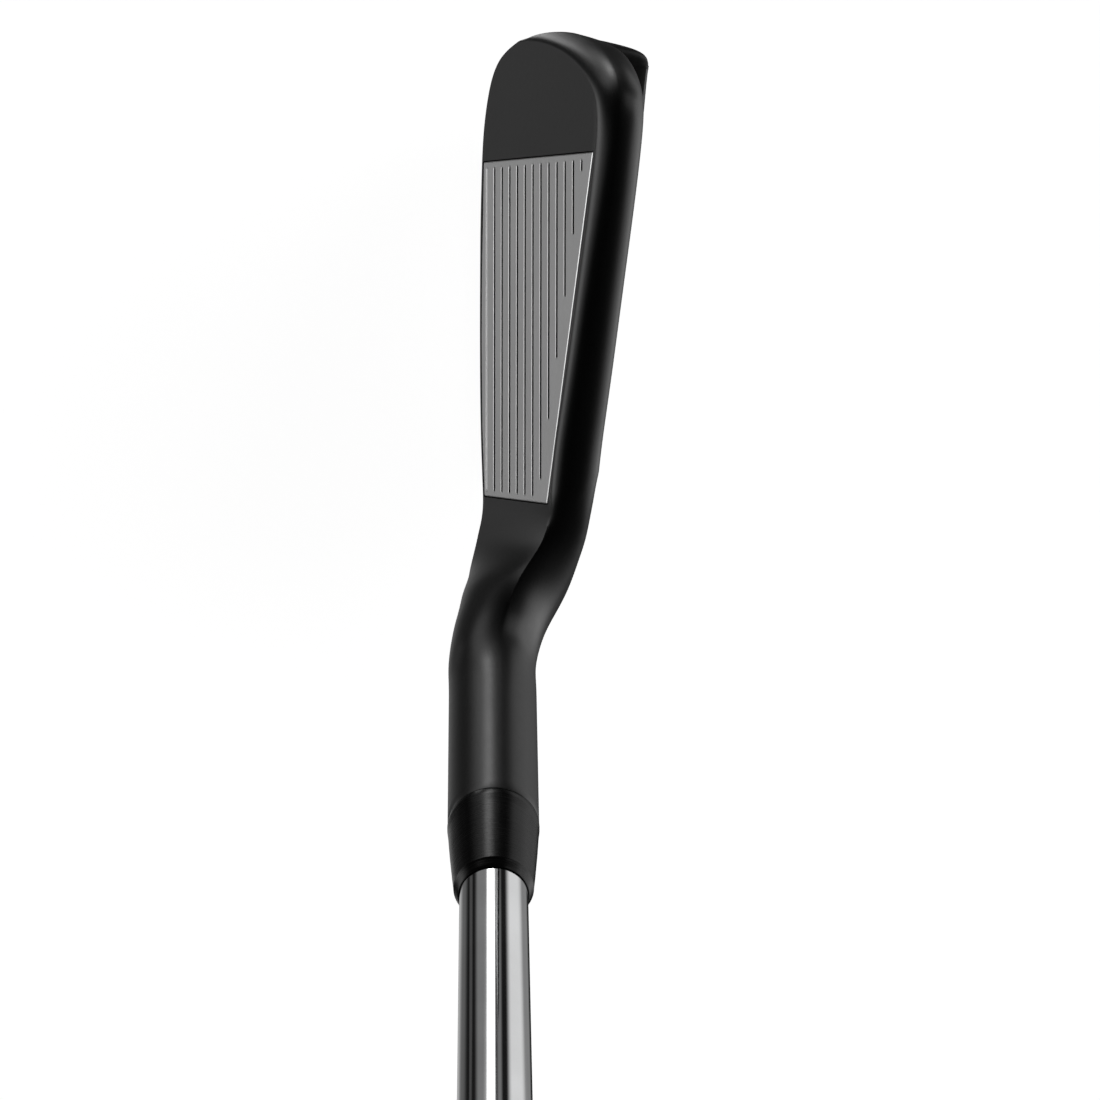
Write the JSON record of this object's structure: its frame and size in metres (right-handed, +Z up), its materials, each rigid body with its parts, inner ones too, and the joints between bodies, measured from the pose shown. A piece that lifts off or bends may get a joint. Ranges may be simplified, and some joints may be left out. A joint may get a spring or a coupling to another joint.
{
  "type": "iron golf club",
  "caption": "Right-handed long iron with a hollow black head, scored steel face, tapered hosel ferrule, stepped steel shaft and rubber grip, for striking a golf ball.",
  "frame": {"origin": "point where the shaft axis meets the ground plane with the club soled at address", "axes": "+Z up, -Y towards the target (the way the face looks), -X towards the toe, +X towards the golfer; the shaft axis leans up towards +X in the XZ plane at the 60.5 degree lie angle"},
  "size_m": [0.5891, 0.0389, 0.8787],
  "materials": {
    "head_body": "satin black coating",
    "face_plate": "fine bead-blasted grey steel",
    "line_fill": "white paint",
    "cavity_filler": "moulded elastomer",
    "sole_weight": "sintered heavy metal",
    "toe_weight": "sintered heavy metal",
    "toe_screw": "black oxide",
    "badge_tape": "foam adhesive tape",
    "rear_badge": "black anodised, brushed",
    "ferrule": "turned and polished black",
    "shaft_bond": "cured epoxy",
    "tip_weight": "turned",
    "shaft": "polished chrome plate",
    "shaft_band": "plain printed film",
    "grip_tape": "crepe adhesive tape",
    "grip": "moulded, patterned",
    "grip_cap": "moulded, smooth"
  },
  "bodies": {
    "root": {"head_body": "head_body", "face_plate": "face_plate", "line_fill": "line_fill", "cavity_filler": "cavity_filler", "sole_weight": "sole_weight", "toe_weight": "toe_weight", "toe_screw": "toe_screw", "badge_tape": "badge_tape", "rear_badge": "rear_badge", "ferrule": "ferrule", "shaft_bond": "shaft_bond", "tip_weight": "tip_weight", "shaft": "shaft", "shaft_band": "shaft_band", "grip_tape": "grip_tape", "grip": "grip", "grip_cap": "grip_cap"}
  },
  "joints": []
}
